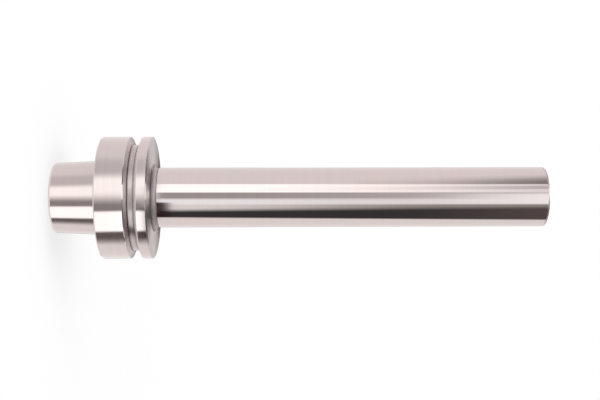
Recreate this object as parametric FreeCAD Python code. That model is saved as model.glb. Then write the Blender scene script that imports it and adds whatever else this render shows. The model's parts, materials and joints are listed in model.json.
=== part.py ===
import FreeCAD, Part
import math
import os

# Test arbor: a hollow taper shank, a gripper flange and a long ground test cylinder, turned from one bar.
# The axis is +Z. Z = 0 is the small end face of the shank, on which the arbor stands. Sizes are in millimetres.

# Taper shank: its diameter is set at a gauge plane, measured back from the contact face
shank_length = 25.0
taper_gauge_diameter = 38.009
taper_gauge_from_contact = 5.0
taper_length_per_diameter = 9.98
shank_tip_radius = 1.2
undercut_width = 1.6
undercut_depth = 0.35
undercut_face_width = 0.9

# Hollow of the shank: mouth, grip bore, clamping shoulder and chamber behind it
grip_bore_diameter = 26.0
mouth_chamfer = 1.2
shoulder_from_contact = 14.13
shoulder_angle = 30.0
chamber_diameter = 29.0
chamber_floor_from_contact = 7.5
chamber_corner_radius = 0.8

# Flange with the gripper groove, whose angle is the full angle between its flanks
flange_diameter = 63.0
flange_width = 26.0
contact_edge_chamfer = 0.6
back_edge_chamfer = 0.5
groove_from_contact = 17.65
groove_mouth_width = 6.2
groove_root_diameter = 55.0
groove_angle = 45.0
groove_edge_chamfer = 0.3
groove_root_radius = 0.4

# Neck between the flange and the test cylinder
neck_length = 3.0
neck_depth = 0.2
neck_fillet_radius = 2.4

# Test cylinder
cylinder_diameter = 31.0
cylinder_length = 200.0
cylinder_tip_radius = 0.8

# Centre holes, one in the floor of the chamber and one in the tip of the cylinder, with full angles
centre_angle = 60.0
drill_point_angle = 118.0
shank_centre_mouth = 6.7
shank_centre_pilot = 3.15
shank_centre_pilot_depth = 3.4
tip_centre_mouth = 8.5
tip_centre_pilot = 4.0
tip_centre_pilot_depth = 4.0
tip_guard_diameter = 11.0
tip_guard_depth = 0.6

# Heights along the axis, worked out from the sizes
contact_z = shank_length
flange_back_z = contact_z + flange_width
neck_end_z = flange_back_z + neck_length
tip_z = neck_end_z + cylinder_length

# The largest share of a side that a corner break may take, when it has the side to itself and when it shares it
lone_share = 0.95
paired_share = 0.45


def corner(r, z, form="sharp", size=0.0):
    """One corner of the section at radius r and height z, sharp, chamfered or rounded by size."""
    return FreeCAD.Vector(r, 0, z), form, size


def taper_radius(z):
    """Radius of the taper at height z."""
    gauge_z = contact_z - taper_gauge_from_contact
    return (taper_gauge_diameter + (z - gauge_z) / taper_length_per_diameter) / 2


def half_angle_run(rise, angle):
    """Length along the axis of a cone that rises by rise at half of its full angle."""
    return rise / math.tan(math.radians(angle / 2))


def centre_hole(face_z, inward, mouth, pilot, pilot_depth):
    """Corners of a centre hole, from its point on the axis out to its mouth in the face at face_z."""
    cone_run = half_angle_run((mouth - pilot) / 2, centre_angle)
    point_run = half_angle_run(pilot / 2, drill_point_angle)
    floor = face_z + inward * (cone_run + pilot_depth)
    return [
        corner(0, floor + inward * point_run),
        corner(pilot / 2, floor),
        corner(pilot / 2, face_z + inward * cone_run),
        corner(mouth / 2, face_z),
    ]


def shank_hollow():
    """Corners of the chamber, the clamping shoulder and the grip bore, from the floor to the mouth."""
    floor_z = contact_z - chamber_floor_from_contact
    shoulder_z = contact_z - shoulder_from_contact
    shoulder_run = (chamber_diameter - grip_bore_diameter) / 2 / math.tan(math.radians(shoulder_angle))
    hole = centre_hole(floor_z, 1, shank_centre_mouth, shank_centre_pilot, shank_centre_pilot_depth)
    return hole + [
        corner(chamber_diameter / 2, floor_z, "round", chamber_corner_radius),
        corner(chamber_diameter / 2, shoulder_z + shoulder_run),
        corner(grip_bore_diameter / 2, shoulder_z),
        corner(grip_bore_diameter / 2, 0, "chamfer", mouth_chamfer),
    ]


def shank_outside():
    """Corners of the taper and of the undercut, which is sunk into the taper's root and into the contact face."""
    undercut_z = contact_z - undercut_width
    undercut_radius = taper_radius(undercut_z) - undercut_depth
    face_radius = taper_radius(contact_z) + undercut_face_width
    return [
        corner(taper_radius(0), 0, "round", shank_tip_radius),
        corner(taper_radius(undercut_z), undercut_z),
        corner(undercut_radius, undercut_z + undercut_depth),
        corner(undercut_radius, contact_z + undercut_depth),
        corner(face_radius - undercut_depth, contact_z + undercut_depth),
        corner(face_radius, contact_z),
    ]


def flange():
    """Corners of the flange: contact face, first rim, gripper groove, second rim and back face."""
    radius = flange_diameter / 2
    root_radius = groove_root_diameter / 2
    middle_z = contact_z + groove_from_contact
    half_mouth = groove_mouth_width / 2
    half_root = half_mouth - (radius - root_radius) * math.tan(math.radians(groove_angle / 2))
    return [
        corner(radius, contact_z, "chamfer", contact_edge_chamfer),
        corner(radius, middle_z - half_mouth, "chamfer", groove_edge_chamfer),
        corner(root_radius, middle_z - half_root, "round", groove_root_radius),
        corner(root_radius, middle_z + half_root, "round", groove_root_radius),
        corner(radius, middle_z + half_mouth, "chamfer", groove_edge_chamfer),
        corner(radius, flange_back_z, "chamfer", back_edge_chamfer),
    ]


def test_cylinder():
    """Corners of the filleted neck, the test cylinder and its guarded centre hole."""
    radius = cylinder_diameter / 2
    neck_radius = radius - neck_depth
    cone_z = tip_z - tip_guard_depth
    hole = centre_hole(cone_z, -1, tip_centre_mouth, tip_centre_pilot, tip_centre_pilot_depth)
    return [
        corner(neck_radius, flange_back_z, "round", neck_fillet_radius),
        corner(neck_radius, neck_end_z - neck_depth),
        corner(radius, neck_end_z),
        corner(radius, tip_z, "round", cylinder_tip_radius),
        corner(tip_guard_diameter / 2, tip_z),
        corner(tip_guard_diameter / 2, cone_z),
    ] + hole[::-1]


def side_room(point, neighbour):
    """Length of the side from point to its neighbour that a break at point may take."""
    share = lone_share if neighbour[1] == "sharp" else paired_share
    return share * (neighbour[0] - point).Length


def broken_corner(before, this, after):
    """Ends of one corner's break and the curve between them, or the corner's own point and no curve."""
    point, form, size = this
    if form == "sharp" or size <= 0:
        return point, point, None
    back = before[0] - point
    ahead = after[0] - point
    longest = min(side_room(point, before), side_room(point, after))
    back.normalize()
    ahead.normalize()
    half = back.getAngle(ahead) / 2
    reach = min(size if form == "chamfer" else size / math.tan(half), longest)
    start = point + back * reach
    end = point + ahead * reach
    if form == "chamfer":
        return start, end, Part.LineSegment(start, end)
    inside = (back + ahead).normalize()
    middle = point + inside * (reach / math.cos(half) - reach * math.tan(half))
    return start, end, Part.Arc(start, middle, end)


def section(corners):
    """Closed half section of the arbor: straight sides with the corner breaks between them."""
    count = len(corners)
    broken = [broken_corner(corners[i - 1], corners[i], corners[(i + 1) % count]) for i in range(count)]
    edges = []
    for i, (start, end, curve) in enumerate(broken):
        if curve:
            edges.append(curve.toShape())
        edges.append(Part.LineSegment(end, broken[(i + 1) % count][0]).toShape())
    return Part.Face(Part.Wire(edges))


def test_arbor():
    """The whole arbor: its half section turned once round the axis."""
    corners = shank_hollow() + shank_outside() + flange() + test_cylinder()
    solid = section(corners).revolve(FreeCAD.Vector(0, 0, 0), FreeCAD.Vector(0, 0, 1), 360)
    if solid.ShapeType != "Solid":
        solid = Part.Solid(solid.Shells[0])
    return solid


os.makedirs("parts", exist_ok=True)
arbor = test_arbor()
arbor.exportStep("parts/test_arbor.step")
print("test_arbor", arbor.isValid(), round(arbor.Volume, 1), arbor.BoundBox)
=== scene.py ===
import json
import math
import bpy
import numpy as np
from mathutils import Matrix, Vector

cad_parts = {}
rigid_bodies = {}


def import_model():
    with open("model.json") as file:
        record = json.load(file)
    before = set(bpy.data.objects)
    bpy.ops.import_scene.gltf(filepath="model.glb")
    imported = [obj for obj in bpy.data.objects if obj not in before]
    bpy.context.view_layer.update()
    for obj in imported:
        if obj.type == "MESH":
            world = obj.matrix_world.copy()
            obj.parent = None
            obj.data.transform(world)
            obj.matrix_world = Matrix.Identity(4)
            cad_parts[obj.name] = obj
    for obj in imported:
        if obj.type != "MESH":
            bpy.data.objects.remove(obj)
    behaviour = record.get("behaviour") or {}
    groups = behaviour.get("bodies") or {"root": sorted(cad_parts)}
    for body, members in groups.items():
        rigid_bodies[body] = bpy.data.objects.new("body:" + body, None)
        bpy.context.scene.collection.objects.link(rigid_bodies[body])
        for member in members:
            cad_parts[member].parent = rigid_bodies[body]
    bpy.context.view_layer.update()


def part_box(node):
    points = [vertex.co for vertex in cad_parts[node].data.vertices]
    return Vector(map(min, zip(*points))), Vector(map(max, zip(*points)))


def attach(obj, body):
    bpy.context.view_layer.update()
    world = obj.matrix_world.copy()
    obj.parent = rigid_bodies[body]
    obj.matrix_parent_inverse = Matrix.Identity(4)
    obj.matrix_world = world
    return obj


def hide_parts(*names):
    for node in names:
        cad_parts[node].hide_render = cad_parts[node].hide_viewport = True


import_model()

# Test arbor: hollow taper shank, gripper flange and a long ground cylinder, turned from one bar of steel.
# The shank stands on z = 0 and the axis is Z. Part sizes are in millimetres and everything else in metres.
mm = 0.001
micrometre = 1e-6
nodeName = "test_arbor"
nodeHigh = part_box(nodeName)[1]            # the node's upper corner: the flange's radius, the tip's height


def smoothStep(x):
    # 3 t^2 - 2 t^3 with t = x held between 0 and 1
    t = np.clip(x, 0.0, 1.0)
    return t * t * (3.0 - 2.0 * t)


def rampBetween(x, ends):
    # 0 before the first end, 1 past the second, smooth between them
    return smoothStep((x - ends[0]) / (ends[1] - ends[0]))


def spanCover(x, ends, fades):
    # 1 between the two ends and 0 outside them, with a smooth step of its own width centred on each end
    return smoothStep((x - ends[0]) / fades[0] + 0.5) * smoothStep((ends[1] - x) / fades[1] + 0.5)


# The turned section

arbor = {
    "shankLength": 25.0,
    "gaugeDiameter": 38.009,              # the taper at its gauge plane
    "gaugeFromContact": 5.0,
    "taperRate": 9.98,                    # length for each millimetre of diameter
    "shankTipBreak": 1.2,
    "undercut": (1.6, 0.35, 0.9),         # width, depth, run into the contact face
    "boreRadius": 13.0,
    "mouthChamfer": 1.2,
    "shoulderFromContact": 14.13,
    "shoulderAngle": 30.0,
    "chamberRadius": 14.5,
    "chamberFromContact": 7.5,
    "chamberBreak": 0.8,
    "flangeWidth": 26.0,
    "flangeChamfers": (0.6, 0.5),         # contact side, back side
    "grooveFromContact": 17.65,
    "grooveMouth": 6.2,
    "grooveRootRadius": 27.5,
    "grooveAngle": 45.0,
    "grooveBreaks": (0.3, 0.4),           # chamfer at the mouth, radius at the root
    "neckLength": 3.0,
    "neckDepth": 0.2,
    "neckFillet": 2.4,
    "cylinderRadius": 15.5,
    "tipBreak": 0.6,
    "tipGuard": (5.5, 0.6),               # radius, depth
    "shankCentre": (3.35, 1.575, 3.4),    # mouth radius, pilot radius, pilot depth
    "tipCentre": (4.25, 2.0, 4.0),
    "centreAngle": 60.0,
    "drillAngle": 118.0,
    "edgeBreak": 0.07,                    # radius left by the deburring stone on every sharp edge
    "breakShare": 0.95,                   # the most of a side that a corner's break takes
    "supportGap": 0.3,                    # width of the worn strip beside an edge
    "supportShares": (0.1, 0.35),         # the most of the rest of a side for its two support rings
    "cornerShadeBelow": 0.5,                     # inner corners with a smaller radius get painted shade
    "cornerShadeReach": 0.5,                     # how far the painted shade climbs a wall
    "wallShare": 0.5,                     # a side is a wall when this much of its direction is radial
    "arcSteps": 7,                        # rings on each rounded corner
    "segments": 192,                      # points round the axis
}


def coneRun(rise, fullAngle):
    # length of a cone along the axis = rise / tan(half its full angle)
    return rise / math.tan(math.radians(fullAngle / 2))


def centreHole(a, faceZ, inward, size):
    # half section of a centre hole, from its point on the axis out to its mouth
    mouth, pilot, depth = size
    coneEnd = coneRun(mouth - pilot, a["centreAngle"])
    floor = faceZ + inward * (coneEnd + depth)
    return [
        (0.0, floor + inward * coneRun(pilot, a["drillAngle"]), 0.0, "bore"),
        (pilot, floor, 0.0, "bore"),
        (pilot, faceZ + inward * coneEnd, 0.0, "bore"),
        (mouth, faceZ, 0.0, "bore"),
    ]


def chamfered(r, z, stepIn, stepOut, finishIn, finishOut):
    # two corners in place of one: the chamfer starts at (r, z) + stepIn and ends at (r, z) + stepOut
    return [
        (r + stepIn[0], z + stepIn[1], 0.0, finishIn),
        (r + stepOut[0], z + stepOut[1], 0.0, finishOut),
    ]


def shankSection(a):
    # Chamber, clamping shoulder and bore on the inside, then end face, taper and undercut on the outside.
    # A corner is (r, z, radius of its break, finish of the side that follows it), here and below.
    contactZ = a["shankLength"]
    floorZ = contactZ - a["chamberFromContact"]
    shoulderZ = contactZ - a["shoulderFromContact"]
    shoulderRun = (a["chamberRadius"] - a["boreRadius"]) / math.tan(math.radians(a["shoulderAngle"]))
    chamfer = a["mouthChamfer"]
    width, depth, faceRun = a["undercut"]

    def taperRadius(z):
        # radius = half of (gauge diameter + distance past the gauge plane / taper rate)
        return (a["gaugeDiameter"] + (z - contactZ + a["gaugeFromContact"]) / a["taperRate"]) / 2

    undercutZ = contactZ - width
    undercutRadius = taperRadius(undercutZ) - depth
    faceRadius = taperRadius(contactZ) + faceRun
    return centreHole(a, floorZ, 1, a["shankCentre"]) + [
        (a["chamberRadius"], floorZ, a["chamberBreak"], "bore"),
        (a["chamberRadius"], shoulderZ + shoulderRun, 0.0, "bore"),
        (a["boreRadius"], shoulderZ, 0.0, "bore"),
        *chamfered(a["boreRadius"], 0.0, (0, chamfer), (chamfer, 0), "bore", "endFace"),
        (taperRadius(0.0), 0.0, a["shankTipBreak"], "taper"),
        (taperRadius(undercutZ), undercutZ, 0.0, "groove"),
        (undercutRadius, undercutZ + depth, 0.0, "groove"),
        (undercutRadius, contactZ + depth, 0.0, "groove"),
        (faceRadius - depth, contactZ + depth, 0.0, "groove"),
        (faceRadius, contactZ, 0.0, "contactFace"),
    ]


def flangeSection(a, rim):
    # contact face, first rim, gripper groove, second rim and back face
    contactZ = a["shankLength"]
    backZ = contactZ + a["flangeWidth"]
    middleZ = contactZ + a["grooveFromContact"]
    halfMouth = a["grooveMouth"] / 2
    slope = math.tan(math.radians(a["grooveAngle"] / 2))
    halfRoot = halfMouth - (rim - a["grooveRootRadius"]) * slope
    front, back = a["flangeChamfers"]
    mouth, root = a["grooveBreaks"]
    along = math.cos(math.radians(a["grooveAngle"] / 2)) * mouth
    across = slope * along
    return [
        *chamfered(rim, contactZ, (-front, 0), (0, front), "rim", "rim"),
        *chamfered(rim, middleZ - halfMouth, (0, -mouth), (-along, across), "rim", "groove"),
        (a["grooveRootRadius"], middleZ - halfRoot, root, "grooveRoot"),
        (a["grooveRootRadius"], middleZ + halfRoot, root, "groove"),
        *chamfered(rim, middleZ + halfMouth, (-along, -across), (0, mouth), "rim", "rim"),
        *chamfered(rim, backZ, (0, -back), (-back, 0), "backFace", "backFace"),
    ]


def cylinderSection(a, tipZ):
    # filleted neck, ground cylinder, tip face and its guarded centre hole
    backZ = a["shankLength"] + a["flangeWidth"]
    neckZ = backZ + a["neckLength"]
    radius = a["cylinderRadius"]
    neckRadius = radius - a["neckDepth"]
    guardRadius, guardDepth = a["tipGuard"]
    return [
        (neckRadius, backZ, a["neckFillet"], "neck"),
        (neckRadius, neckZ - a["neckDepth"], 0.0, "neck"),
        (radius, neckZ, 0.0, "cylinder"),
        (radius, tipZ, a["tipBreak"], "tipFace"),
        (guardRadius, tipZ, 0.0, "tipFace"),
        (guardRadius, tipZ - guardDepth, 0.0, "tipFace"),
    ] + centreHole(a, tipZ - guardDepth, -1, a["tipCentre"])[::-1]


def unitVectors(v):
    # v / |v|, row by row
    return v / np.linalg.norm(v, axis=1, keepdims=True)


def roundedProfile(corners, a):
    # A corner P between sides that leave it along the unit vectors u and v, with h half the angle between
    # them, becomes an arc of radius R. It starts at P + u R / tan h, ends at P + v R / tan h, and its centre
    # is P + (u + v) / |u + v| R / sin h. The points turn evenly from one end to the other, and two more rings
    # stand beside each end. Returns rings (r, z), the corner each belongs to, and its mark: 1 on an outer
    # edge, for wear, -1 in a sharp inner corner and beside it on a wall, for painted shade, and 0 elsewhere.
    place = np.array([c[:2] for c in corners], float)
    corner = place[1:-1]
    back = place[:-2] - corner
    ahead = place[2:] - corner
    side = np.minimum(np.linalg.norm(back, axis=1), np.linalg.norm(ahead, axis=1))
    u = unitVectors(back)
    v = unitVectors(ahead)
    half = np.arccos(np.clip((u * v).sum(1), -1, 1)) / 2
    radius = np.maximum([c[2] for c in corners], a["edgeBreak"])[1:-1]
    reach = np.minimum(radius / np.tan(half), a["breakShare"] * side)
    radius = reach * np.tan(half)
    centre = corner + unitVectors(u + v) * (radius / np.sin(half))[:, None]
    first = (corner + u * reach[:, None] - centre) / radius[:, None]
    last = (corner + v * reach[:, None] - centre) / radius[:, None]
    turn = (math.pi - 2 * half)[:, None, None]
    t = np.linspace(0, 1, a["arcSteps"])[None, :, None]
    spread = np.sin((1 - t) * turn) * first[:, None] + np.sin(t * turn) * last[:, None]
    arc = centre[:, None] + radius[:, None, None] * (spread / np.sin(turn))
    outward = (v[:, 0] * u[:, 1] - v[:, 1] * u[:, 0]) > 0          # true where the edge stands proud
    sharp = ~outward & (radius < a["cornerShadeBelow"])
    room = side - reach
    nearShare, farShare = a["supportShares"]
    near = np.minimum(a["supportGap"], nearShare * room)

    def beside(direction):
        # one ring close to the arc's end, and one further up, as far as the painted shade climbs a wall
        shadeClimb = np.where(sharp, a["cornerShadeReach"] * np.abs(direction[:, 0]), 0.0)
        far = near + np.clip(shadeClimb, nearShare * near, farShare * room)
        return [(corner + direction * (reach + gap)[:, None])[:, None] for gap in (near, far)]

    def besideShade(direction):
        # painted shade where the side is a wall, and nothing on an edge or a floor
        return np.where(sharp & (np.abs(direction[:, 0]) > a["wallShare"]), -1.0, 0.0)

    nearBack, farBack = beside(u)
    nearAhead, farAhead = beside(v)
    rings = np.concatenate([farBack, nearBack, arc, nearAhead, farAhead], axis=1)
    wearAndShade = np.zeros(rings.shape[:2])
    # 1 for wear on outer edges, -1 for painted shade in sharp inner corners
    wearAndShade[:, 2:-2] = np.where(outward, 1.0, np.where(sharp, -1.0, 0.0))[:, None]
    wearAndShade[:, 1] = besideShade(u)
    wearAndShade[:, -2] = besideShade(v)
    owner = np.repeat(np.arange(1, len(corners) - 1), rings.shape[1])
    rings = np.vstack([place[:1], rings.reshape(-1, 2), place[-1:]])
    owner = np.concatenate([[0], owner, [len(corners) - 2]])
    return rings, owner, np.concatenate([[0], wearAndShade.ravel(), [0]])


def gridQuads(rows, columns, closed):
    # The four points of each cell of a grid that is numbered row by row. In a closed grid the last column
    # meets the first.
    cells = columns if closed else columns - 1
    i, j = np.meshgrid(np.arange(rows - 1), np.arange(cells), indexing="ij")
    k = (j + 1) % columns
    here = i * columns
    there = here + columns
    return np.stack([here + j, here + k, there + k, there + j], -1).reshape(-1, 4)


def turnedFaces(total, count):
    # quads between the rings, then a fan of triangles from each end ring to its point on the axis
    j = np.arange(count)
    k = (j + 1) % count
    top = (total - 1) * count
    low = np.stack([np.full(count, total * count), k, j], -1)
    high = np.stack([top + j, top + k, np.full(count, total * count + 1)], -1)
    return gridQuads(total, count, True).tolist() + low.tolist() + high.tolist()


def turnedUv(run, count):
    # (turns round the axis, metres along the profile) at each corner of each face, in the faces' order
    j = np.arange(count)
    start = j / count
    end = (j + 1) / count
    middle = (start + end) / 2
    here, starts = np.meshgrid(run[1:-2], start, indexing="ij")
    there, ends = np.meshgrid(run[2:-1], end, indexing="ij")
    quads = np.stack([starts, here, ends, here, ends, there, starts, there], -1)
    first, second, last, final = [np.full(count, run[n]) for n in (0, 1, -2, -1)]
    low = np.stack([middle, first, end, second, start, second], -1)
    high = np.stack([start, last, end, last, middle, final], -1)
    return np.concatenate([quads.ravel(), low.ravel(), high.ravel()])


def turnedSurface(name, rings, owner, wearAndShade, finishOf, count):
    # P(i, j) = (r_i cos 2 pi j / n, r_i sin 2 pi j / n, z_i): each ring of the profile carried once round Z.
    # The first and last rings are single points on the axis. Each finish has a material slot of its own.
    inner = rings[1:-1] * mm
    angle = 2 * math.pi * np.arange(count) / count
    x = inner[:, :1] * np.cos(angle)
    y = inner[:, :1] * np.sin(angle)
    z = np.broadcast_to(inner[:, 1:], x.shape)
    points = np.stack([x, y, z], axis=-1).reshape(-1, 3)
    poles = np.array([[0, 0, rings[0, 1]], [0, 0, rings[-1, 1]]]) * mm
    mesh = bpy.data.meshes.new(name)
    mesh.from_pydata(np.vstack([points, poles]), [], turnedFaces(len(inner), count))

    steps = np.linalg.norm(np.diff(rings, axis=0), axis=1)
    run = np.concatenate([[0], np.cumsum(steps)]) * mm
    mesh.uv_layers.new(name="turned").data.foreach_set("uv", turnedUv(run, count))

    slots = list(dict.fromkeys(finishOf))
    perRing = np.array([slots.index(finish) for finish in finishOf])[owner]
    perFace = np.repeat(np.concatenate([perRing[1:-2], perRing[[0, -1]]]), count)
    mesh.polygons.foreach_set("material_index", perFace.astype(np.int32))
    mesh.polygons.foreach_set("use_smooth", np.ones(len(perFace), bool))
    # per point: 1 for wear on outer edges, -1 for painted shade in sharp inner corners
    perPoint = np.concatenate([np.repeat(wearAndShade[1:-1], count), [0, 0]])
    edgeWearAndShade = mesh.attributes.new("edgeWearAndShade", "FLOAT", "POINT")
    edgeWearAndShade.data.foreach_set("value", perPoint.astype(np.float32))
    mesh.update()
    return mesh, slots


# Finishes of the steel

steel = {
    "warm": (0.640, 0.562, 0.548),        # linear colour of the two tints that cloud into each other
    "cool": (0.612, 0.556, 0.545),
    "edge": (0.74, 0.68, 0.66),           # bright metal on the worn edges
    "edgeCover": 0.6,
    "cornerShade": (0.10, 0.08, 0.07),           # painted shade in the sharp inner corners
    "cornerShadeCover": 0.45,
    "cloudSize": 0.035,                   # metres from one tint to the next
    "cloudRange": (0.35, 0.65),           # noise between which one tint turns into the other
    "marksAround": 45.0,                  # changes of the tool marks in a metre across the arbor
    "passPitch": 9,                       # pitch of the slow changes from pass to pass, in tool marks
    "passAround": 4.0,
    "smearScale": 160.0,                  # smears in a metre
    "roughShares": (0.78, 0.25, 0.2),     # parts of the roughness: plain, times smears, times passes
}

# Roughness and anisotropy, pitch of the tool marks in millimetres, their height in micrometres, how dark they
# are, and the shade of the whole finish, a factor on its colour that paints light and shade into it: below 1
# it darkens a finish with painted shade, most in the neck and the groove root, and above 1, in the groove
# finish, it lightens with painted light. "turn" is the anisotropy's own turn against the way round the axis,
# in full turns. Where nothing is given it is a quarter, as for marks that run round, and mirror images blur
# along the profile. At 0, in the neck, they blur round the axis.
finishes = {
    "cylinder": dict(roughness=0.045, anisotropy=0.10, pitch=0.35, height=0.10, dark=0.05, shade=1.0),
    "taper": dict(roughness=0.12, anisotropy=0.25, pitch=0.30, height=0.20, dark=0.07, shade=0.98),
    "rim": dict(roughness=0.08, anisotropy=0.10, pitch=0.40, height=0.25, dark=0.08, shade=0.98),
    "contactFace": dict(roughness=0.20, anisotropy=0.60, pitch=0.35, height=0.25, dark=0.06, shade=0.98),
    "backFace": dict(roughness=0.32, anisotropy=1.0, pitch=0.45, height=0.30, dark=0.08, shade=0.93),
    "endFace": dict(roughness=0.22, anisotropy=0.55, pitch=0.35, height=0.35, dark=0.08, shade=0.95),
    "tipFace": dict(roughness=0.46, anisotropy=0.50, pitch=0.40, height=0.40, dark=0.08, shade=0.95),
    "neck": dict(
        roughness=0.34, anisotropy=1.0, pitch=0.25, height=0.20, dark=0.10, shade=0.72, turn=0.0),
    "groove": dict(roughness=0.48, anisotropy=1.0, pitch=0.35, height=0.30, dark=0.08, shade=1.15),
    "grooveRoot": dict(roughness=0.28, anisotropy=0.60, pitch=0.35, height=0.40, dark=0.14, shade=0.80),
    "bore": dict(roughness=0.32, anisotropy=0.50, pitch=0.30, height=0.80, dark=0.16, shade=0.80),
}


def newTree(data):
    # the data's node tree, emptied
    data.use_nodes = True
    data.node_tree.nodes.clear()
    return data.node_tree


def addNode(tree, kind, settings=None, **inputs):
    # A node with its settings, and each input joined to a socket or set to a value. An input goes by its
    # name, or by i and its number.
    node = tree.nodes.new(kind)
    for key, value in (settings or {}).items():
        setattr(node, key, value)
    for key, value in inputs.items():
        socket = node.inputs[int(key[1:])] if key[1:].isdigit() else node.inputs[key]
        if isinstance(value, bpy.types.NodeSocket):
            tree.links.new(value, socket)
        else:
            socket.default_value = value
    return node


def maths(tree, operation, a, b=0.0, c=0.0):
    # one Math node: operation of a, b and c
    node = addNode(tree, "ShaderNodeMath", {"operation": operation}, i0=a, i1=b, i2=c)
    return node.outputs[0]


def mixColours(tree, factor, first, second):
    # one colour mix = first * (1 - factor) + second * factor
    node = addNode(tree, "ShaderNodeMix", {"data_type": "RGBA"}, Factor=factor, i6=first, i7=second)
    return node.outputs[2]


def opaque(colour, shade=1.0):
    # colour times shade, with full alpha
    return [c * shade for c in colour] + [1]


def steelFinish(name, f):
    # Tool marks = noise of (x, y, length along the profile) with the last stretched to the pitch, so that
    # they run round the axis on cylinders, cones and faces alike. Colour = two tints mixed by slow clouds,
    # times the finish's shade, which paints light and shade in, times 1 + dark * (1 - marks - passes),
    # brighter on worn edges and darker in sharp inner corners with painted shade. Roughness = the finish's
    # own times (plain share + share * smears + share * passes).
    material = bpy.data.materials.new(name)
    tree = newTree(material)
    place = addNode(tree, "ShaderNodeTexCoord").outputs["Object"]
    turned = addNode(tree, "ShaderNodeUVMap", {"uv_map": "turned"}).outputs["UV"]
    spot = addNode(tree, "ShaderNodeSeparateXYZ", i0=place)
    run = addNode(tree, "ShaderNodeSeparateXYZ", i0=turned).outputs["Y"]

    def ringNoise(pitch, around, detail):
        # noise that changes every pitch millimetres along the profile and around times a metre across it
        vector = addNode(
            tree, "ShaderNodeCombineXYZ",
            i0=maths(tree, "MULTIPLY", spot.outputs["X"], around),
            i1=maths(tree, "MULTIPLY", spot.outputs["Y"], around),
            i2=maths(tree, "MULTIPLY", run, 1 / (pitch * mm)),
        )
        noise = addNode(tree, "ShaderNodeTexNoise", Vector=vector.outputs[0], Scale=1.0, Detail=detail)
        return noise.outputs["Fac"]

    marks = ringNoise(f["pitch"], steel["marksAround"], detail=3.0)
    passes = ringNoise(f["pitch"] * steel["passPitch"], steel["passAround"], detail=1.0)
    clouds = addNode(tree, "ShaderNodeTexNoise", Vector=place, Scale=1 / steel["cloudSize"], Detail=2.0)
    smears = addNode(
        tree, "ShaderNodeTexNoise", Vector=place, Scale=steel["smearScale"], Detail=4.0, Roughness=0.6)
    wornAndShaded = addNode(tree, "ShaderNodeAttribute", {"attribute_name": "edgeWearAndShade"}).outputs["Fac"]

    low, high = steel["cloudRange"]
    cloudy = addNode(tree, "ShaderNodeMapRange", Value=clouds.outputs["Fac"], i1=low, i2=high).outputs[0]
    # the finish's shade paints light and shade into both tints
    tint = mixColours(tree, cloudy, opaque(steel["cool"], f["shade"]), opaque(steel["warm"], f["shade"]))
    lines = maths(tree, "MULTIPLY_ADD", maths(tree, "ADD", marks, passes), -f["dark"], 1 + f["dark"])
    lined = addNode(tree, "ShaderNodeVectorMath", {"operation": "SCALE"}, i0=tint, Scale=lines).outputs[0]
    bright = maths(tree, "MULTIPLY", wornAndShaded, steel["edgeCover"])
    edged = mixColours(tree, bright, lined, opaque(steel["edge"]))
    # painted shade darkens the sharp inner corners
    cornerShadeShare = maths(tree, "MULTIPLY", wornAndShaded, -steel["cornerShadeCover"])
    cornerShaded = mixColours(tree, cornerShadeShare, edged, opaque(steel["cornerShade"]))

    plain, smearShare, passShare = [share * f["roughness"] for share in steel["roughShares"]]
    smeared = maths(tree, "MULTIPLY_ADD", smears.outputs["Fac"], smearShare, plain)
    rough = maths(tree, "MULTIPLY_ADD", passes, passShare, smeared)
    bump = addNode(tree, "ShaderNodeBump", Strength=1.0, Distance=f["height"] * micrometre, Height=marks)
    around = addNode(tree, "ShaderNodeTangent", {"direction_type": "RADIAL", "axis": "Z"})
    shader = addNode(tree, "ShaderNodeBsdfPrincipled", **{
        "Base Color": cornerShaded,
        "Roughness": rough,
        "Normal": bump.outputs[0],
        "Metallic": 1.0,
        "Anisotropic": f["anisotropy"],
        "Anisotropic Rotation": f.get("turn", 0.25),
        "Tangent": around.outputs[0],
    })
    addNode(tree, "ShaderNodeOutputMaterial", Surface=shader.outputs[0])
    return material


def buildArbor():
    # the rounded section turned once round the axis, in place of the CAD node
    rim = nodeHigh.x / mm
    tipZ = nodeHigh.z / mm
    corners = shankSection(arbor) + flangeSection(arbor, rim) + cylinderSection(arbor, tipZ)
    rings, owner, wearAndShade = roundedProfile(corners, arbor)
    finishOf = [corner[3] for corner in corners]
    mesh, slots = turnedSurface("arborBody", rings, owner, wearAndShade, finishOf, arbor["segments"])
    for slotName in slots:
        mesh.materials.append(steelFinish(slotName + "Steel", finishes[slotName]))
    body = bpy.data.objects.new("arborBody", mesh)
    bpy.context.collection.objects.link(body)
    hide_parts(nodeName)
    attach(body, "root")
    print("arbor body:", len(mesh.vertices), "vertices,", len(mesh.polygons), "faces")
    print("steel:", len(slots), "finishes")


# Light tent

# The tent round the arbor is what the polished steel mirrors: a round wall with lit and dark strips, and a
# dark ceiling crossed by one lit strip, with a round light spot over the arbor and light edges. Azimuth 0 is
# the camera's side, and it grows towards +X.
tent = {
    "radius": 0.6,
    "heights": (-0.7, 0.5),
    "wall": (1.05, 1.01, 1.015),
    "stepAngle": 0.5,                     # degrees from one column of the wall's mesh to the next
    "stepHeight": 0.006,
    "ends": (0.012, 0.012),               # heights over which a strip fades at its foot and head
    "ceilingSteps": 401,                  # points along each side of the ceiling
    "ceiling": (0.02, 0.02, 0.02),
    "ceilingRear": (8.5, 8.3, 8.3),       # the strip's light behind the arbor and on the camera's side
    "ceilingFront": (1.9, 1.85, 1.85),
    "ceilingTurn": (0.16, 0.08),          # y between which it turns from one to the other
    "ceilingAt": (0.2, -0.04),            # y of the two rows that set the strip's sides
    "ceilingSides": ((-0.055, 0.002), (-0.117, 0.011)),   # x of its two sides at each of them
    "ceilingFade": 0.008,
    "ceilingEdge": (0.38, 0.50),          # |x| between which the ceiling turns as light as the wall,
    "ceilingBrow": (0.30, 0.44),          # the same for distances towards the camera,
    "ceilingSpot": (0.13, 0.08),          # and for distances from the axis
}

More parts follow.
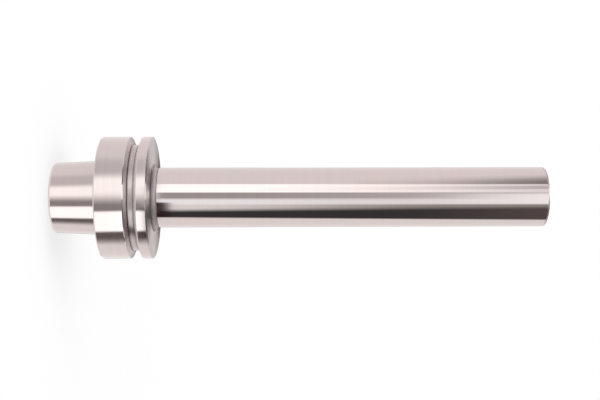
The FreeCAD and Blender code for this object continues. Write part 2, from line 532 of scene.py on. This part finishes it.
# A strip of the wall has its two sides in degrees at its foot and at its head, its heights, the degrees over
# which each side fades, and its light, which turns from low to high over its heights or over "turn". Head and
# high are left out where they are the same as foot and low. A mirrored strip stands on both sides. The rear
# bands are what the arbor shows as dark lines when it is seen from behind.
strips = {
    "rightWall": dict(
        foot=(92, 152), z=(-0.7, 0.5), fade=(4, 30),
        low=(1.08, 1.05, 1.06), high=(1.08, 1.05, 1.04)),
    "rearSides": dict(
        foot=(155, 190), z=(0.08, 0.5), fade=(20, 4), mirrored=True,
        low=(0.80, 0.77, 0.77), high=(0.86, 0.83, 0.83)),
    "rearFlags": dict(
        foot=(180, 190), head=(169.5, 190), z=(0.17, 0.52), fade=(4, 4), ends=(0.05, 0.01), mirrored=True,
        low=(0.03, 0.03, 0.03)),
    "rearBandLeft": dict(
        foot=(-177, -165), head=(-177, -164), z=(-0.28, 0.09), fade=(3, 5), ends=(0.08, 0.03),
        low=(0.16, 0.15, 0.15), high=(0.12, 0.11, 0.11)),
    "rearBandRight": dict(
        foot=(163, 177), head=(165, 177), z=(-0.28, 0.09), fade=(5, 3), ends=(0.08, 0.03),
        low=(0.16, 0.15, 0.15), high=(0.12, 0.11, 0.11)),
    "leftShade": dict(
        foot=(-58, -30), head=(-86, -30), z=(0.2, 0.5), fade=(44, 2), turn=(0.2, 0.46),
        low=(0.9, 0.87, 0.86), high=(0.28, 0.25, 0.25)),
    "keyStrip": dict(
        foot=(-52, -18), head=(-48, -15), z=(-0.024, 0.5), fade=(4, 4), turn=(0.05, 0.5),
        low=(1.75, 1.75, 1.75), high=(1.05, 1.05, 1.05)),
    "keySeam": dict(
        foot=(-36, -26), head=(-44, -30), z=(0.1, 0.5), fade=(8, 6),
        low=(1.65, 1.62, 1.62), high=(0.6, 0.6, 0.61)),
    "greyGap": dict(
        foot=(-19, 6), head=(-16, 6), z=(-0.024, 0.5), fade=(4, 14),
        low=(0.49, 0.47, 0.47), high=(0.78, 0.78, 0.79)),
    "fillStrip": dict(
        foot=(6, 28), head=(11, 28), z=(-0.024, 0.5), fade=(12, 8), turn=(0.0, 0.25),
        low=(1.28, 1.31, 1.36), high=(1.11, 1.14, 1.18)),
    "tipGlow": dict(
        foot=(-12, 28), head=(-12, 38), z=(0.33, 0.5), fade=(12, 8), ends=(0.16, 0.01),
        low=(1.29, 1.33, 1.36), high=(1.37, 1.41, 1.42)),
    "fillEdge": dict(
        foot=(28, 70), z=(-0.024, 0.5), fade=(8, 4), turn=(-0.03, 0.3),
        low=(1.12, 1.11, 1.12), high=(0.42, 0.41, 0.40)),
    "darkFlag": dict(
        foot=(50, 80.8), head=(38, 104), z=(-0.024, 0.5), fade=(20, 9), turn=(0.22, 0.5),
        low=(0.052, 0.053, 0.056), high=(0.15, 0.12, 0.115)),
    "lowShade": dict(
        foot=(-75, -35), z=(-0.3, -0.024), fade=(24, 8),
        low=(0.82, 0.79, 0.79), high=(0.80, 0.77, 0.77)),
    "lowKey": dict(
        foot=(-34, 20), head=(-40, 20), z=(-0.3, -0.024), fade=(20, 4),
        low=(1.62, 1.60, 1.58)),
    "lowGap": dict(
        foot=(1, 32), head=(1, 24), z=(-0.3, -0.024), fade=(28, 6),
        low=(0.37, 0.34, 0.34), high=(0.35, 0.34, 0.34)),
    "lowFill": dict(
        foot=(32, 80), head=(24, 80), z=(-0.3, -0.024), fade=(6, 2), turn=(-0.07, -0.035),
        low=(1.75, 1.78, 1.78), high=(2.4, 2.4, 2.4)),
    "lowFlag": dict(
        foot=(73, 89), head=(62.5, 89), z=(-0.3, -0.024), fade=(7, 24),
        low=(0.18, 0.155, 0.145)),
    "footFlag": dict(
        foot=(17, 80), head=(19, 80), z=(-0.030, -0.008), fade=(8, 4), ends=(0.003, 0.012),
        low=(0.04, 0.02, 0.02)),
}


def gridMesh(name, points):
    # a mesh of quads over a grid of points P(i, j)
    mesh = bpy.data.meshes.new(name)
    mesh.from_pydata(points.reshape(-1, 3), [], gridQuads(*points.shape[:2], False).tolist())
    mesh.update()
    return mesh


def addStage(name, mesh, material):
    # an object round the arbor that is no piece of it
    mesh.materials.append(material)
    item = bpy.data.objects.new(name, mesh)
    bpy.context.collection.objects.link(item)
    return item


def wallGlow(azimuth, z):
    # Light of the wall: the plain wall, and over it each strip in turn, glow = glow + (strip - glow) * cover.
    # Cover = smooth steps across both sides and both ends, and the strip's light = low + (high - low) * rise.
    glow = np.zeros(azimuth.shape + (3,)) + tent["wall"]
    for strip in strips.values():
        angle = np.abs(azimuth) if strip.get("mirrored") else azimuth
        z0, z1 = strip["z"]
        t = (z - z0) / (z1 - z0)
        sides = [a + (b - a) * t for a, b in zip(strip["foot"], strip.get("head", strip["foot"]))]
        ends = strip.get("ends", tent["ends"])
        cover = spanCover(angle, sides, strip["fade"]) * spanCover(z, strip["z"], ends)
        low = np.array(strip["low"])
        high = np.array(strip.get("high", strip["low"]))
        rise = rampBetween(z, strip.get("turn", strip["z"]))[..., None]
        glow += (low + (high - low) * rise - glow) * cover[..., None]
    return glow


def ceilingGlow(x, y):
    # Light of the ceiling: dark in the middle, and as light as the wall at both sides, on the camera's side
    # and in a round spot over the arbor, with smooth steps in |x|, in -y and in the distance from the axis.
    # The lit strip across it has straight sides x = x0 + (x1 - x0) s, and its light is
    # rear + (front - rear) * rise.
    y0, y1 = tent["ceilingAt"]
    s = (y - y0) / (y1 - y0)
    sides = [x0 + (x1 - x0) * s for x0, x1 in zip(*tent["ceilingSides"])]
    lit = spanCover(x, sides, (tent["ceilingFade"], tent["ceilingFade"]))
    edge = np.maximum(rampBetween(np.abs(x), tent["ceilingEdge"]), rampBetween(-y, tent["ceilingBrow"]))
    edge = np.maximum(edge, rampBetween(np.hypot(x, y), tent["ceilingSpot"]))
    glow = tent["ceiling"] + (np.array(tent["wall"]) - tent["ceiling"]) * edge[..., None]
    rise = rampBetween(y, tent["ceilingTurn"])[..., None]
    light = tent["ceilingRear"] + (np.array(tent["ceilingFront"]) - tent["ceilingRear"]) * rise
    return glow + (light - glow) * lit[..., None]


def tentMaterial():
    # light = the mesh's own glow
    material = bpy.data.materials.new("tentCloth")
    tree = newTree(material)
    glow = addNode(tree, "ShaderNodeAttribute", {"attribute_name": "glow"}).outputs["Color"]
    light = addNode(tree, "ShaderNodeEmission", Color=glow, Strength=1.0)
    addNode(tree, "ShaderNodeOutputMaterial", Surface=light.outputs[0])
    return material


def addTentPart(name, points, glow, material):
    # one surface of the tent, which only mirror rays see
    mesh = gridMesh(name, points)
    colour = mesh.attributes.new("glow", "FLOAT_COLOR", "POINT")
    colour.data.foreach_set("color", np.dstack([glow, np.ones(glow.shape[:2])]).ravel().astype(np.float32))
    part = addStage(name, mesh, material)
    for ray in ("visible_camera", "visible_diffuse", "visible_shadow", "visible_volume_scatter"):
        setattr(part, ray, False)


def buildTent():
    # Wall: P(A, z) = (R sin A, -R cos A, z). Ceiling: P(x, y) = a square over the wall's top.
    radius = tent["radius"]
    z0, z1 = tent["heights"]
    azimuth, z = np.meshgrid(
        np.linspace(-180, 180, round(360 / tent["stepAngle"]) + 1),
        np.linspace(z0, z1, round((z1 - z0) / tent["stepHeight"]) + 1),
    )
    turn = np.radians(azimuth)
    material = tentMaterial()
    wall = np.stack([radius * np.sin(turn), -radius * np.cos(turn), z], -1)
    addTentPart("tentWall", wall, wallGlow(azimuth, z), material)
    side = np.linspace(-radius, radius, tent["ceilingSteps"])
    x, y = np.meshgrid(side, side)
    addTentPart("tentCeiling", np.stack([x, y, 0 * x + z1], -1), ceilingGlow(x, y), material)
    print("light tent:", len(strips), "strips on the wall")


# Floor

floorPaper = {
    "radius": 3.0,
    "rings": 25,
    "spokes": 65,
    "crowding": 2,                        # power by which the rings crowd towards the middle
    "fade": (0.10, 0.60),                 # radii between which the paper turns plain white
    "shade": 0.30,                        # how much of the paper near the arbor takes light and shadow
    "colour": (0.9, 0.9, 0.9, 1),
}


def buildFloor():
    # The floor is a disc of white paper, P(s, a) = (R cos a, R sin a, 0) with R = radius * s ^ crowding. Near
    # the arbor it takes light and shadow, and further out it fades into the plain white of the background.
    # Seen from below it lets the view through.
    share = np.linspace(0, 1, floorPaper["rings"])[:, None]
    radius = floorPaper["radius"] * share ** floorPaper["crowding"]
    angle = 2 * math.pi * np.linspace(0, 1, floorPaper["spokes"])[None, :]
    points = np.stack([radius * np.cos(angle), radius * np.sin(angle), 0 * radius * angle], -1)
    material = bpy.data.materials.new("floorPaper")
    tree = newTree(material)
    place = addNode(tree, "ShaderNodeTexCoord").outputs["Object"]
    distance = addNode(tree, "ShaderNodeVectorMath", {"operation": "LENGTH"}, i0=place).outputs["Value"]
    near, far = floorPaper["fade"]
    fade = addNode(
        tree, "ShaderNodeMapRange", {"interpolation_type": "SMOOTHSTEP"},
        Value=distance, i1=near, i2=far, i3=floorPaper["shade"], i4=0.0,
    ).outputs[0]
    paper = addNode(tree, "ShaderNodeBsdfDiffuse", Color=floorPaper["colour"])
    white = addNode(tree, "ShaderNodeEmission", Color=(1, 1, 1, 1), Strength=1.0)
    upper = addNode(tree, "ShaderNodeMixShader", i0=fade, i1=white.outputs[0], i2=paper.outputs[0])
    clear = addNode(tree, "ShaderNodeBsdfTransparent")
    under = addNode(tree, "ShaderNodeNewGeometry").outputs["Backfacing"]
    sides = addNode(tree, "ShaderNodeMixShader", i0=under, i1=upper.outputs[0], i2=clear.outputs[0])
    addNode(tree, "ShaderNodeOutputMaterial", Surface=sides.outputs[0])
    mesh = gridMesh("studioFloor", points)
    mesh.flip_normals()
    floor = addStage("studioFloor", mesh, material)
    floor.visible_glossy = False          # polished steel mirrors the tent and not the paper
    print("floor:", floorPaper["radius"], "m of paper")


# World and lamp

lighting = {
    "worldLevel": 0.80,                   # world light on everything that isn't seen directly
    "lampPower": 14.5,
    "lampSize": 1.3,
    "lampPlace": (-0.5, -0.6, 1.6),
    "lampAim": (0.0, 0.0, 0.1),
}


def buildWorld():
    # white for the camera, glossy and transmission rays, and a plain soft level for the light on surfaces
    world = bpy.data.worlds.new("studioWorld")
    bpy.context.scene.world = world
    tree = newTree(world)
    path = addNode(tree, "ShaderNodeLightPath").outputs
    seen = maths(tree, "ADD", path["Is Camera Ray"], path["Is Glossy Ray"])
    seen = maths(tree, "MINIMUM", maths(tree, "ADD", seen, path["Is Transmission Ray"]), 1.0)
    level = addNode(tree, "ShaderNodeMapRange", Value=seen, i3=lighting["worldLevel"], i4=1.0).outputs[0]
    light = addNode(tree, "ShaderNodeBackground", Color=(1, 1, 1, 1), Strength=level)
    addNode(tree, "ShaderNodeOutputWorld", Surface=light.outputs[0])


def buildLamp():
    # one large soft box above, on the camera's side, which lights the floor and softens the shadow
    light = bpy.data.lights.new("softBox", "AREA")
    light.energy = lighting["lampPower"]
    light.size = lighting["lampSize"]
    lamp = bpy.data.objects.new("softBox", light)
    bpy.context.collection.objects.link(lamp)
    place = Vector(lighting["lampPlace"])
    aim = Vector(lighting["lampAim"]) - place
    lamp.matrix_world = Matrix.Translation(place) @ aim.to_track_quat("-Z", "Y").to_matrix().to_4x4()
    lamp.visible_glossy = False
    lamp.visible_camera = False
    print("world level", lighting["worldLevel"], "and lamp of", lighting["lampPower"], "W")


# Camera, where the photograph's was: the arbor lies along the picture, shank to the left

view = {
    "place": (0.00141, -0.5066, 0.1177),
    "tilt": 1.04,                         # degrees that the camera looks up, towards the tip
    "roll": -0.14,                        # degrees that the arbor's axis leans in the picture
    "focal": 971.0,                       # in pixels of a picture that is as wide as pictureWidth
    "pictureWidth": 600,
    "sensorWidth": 36.0,                  # millimetres
}


def buildCamera():
    # forward = (0, cos tilt, sin tilt), and the picture's upper side is the arbor's -X side, leant by roll
    tilt, roll = math.radians(view["tilt"]), math.radians(view["roll"])
    forward = Vector((0, math.cos(tilt), math.sin(tilt)))
    up = Vector((-math.cos(roll), 0, -math.sin(roll)))
    right = forward.cross(up).normalized()
    up = right.cross(forward)
    data = bpy.data.cameras.new("productCamera")
    data.sensor_width = view["sensorWidth"]
    data.lens = view["focal"] * view["sensorWidth"] / view["pictureWidth"]
    camera = bpy.data.objects.new("productCamera", data)
    bpy.context.collection.objects.link(camera)
    turn = Matrix((right, up, -forward)).transposed().to_4x4()
    camera.matrix_world = Matrix.Translation(Vector(view["place"])) @ turn
    bpy.context.scene.camera = camera
    print("camera at", view["place"])


bpy.context.scene.view_settings.view_transform = "Standard"
buildArbor()
buildFloor()
buildTent()
buildWorld()
buildLamp()
buildCamera()
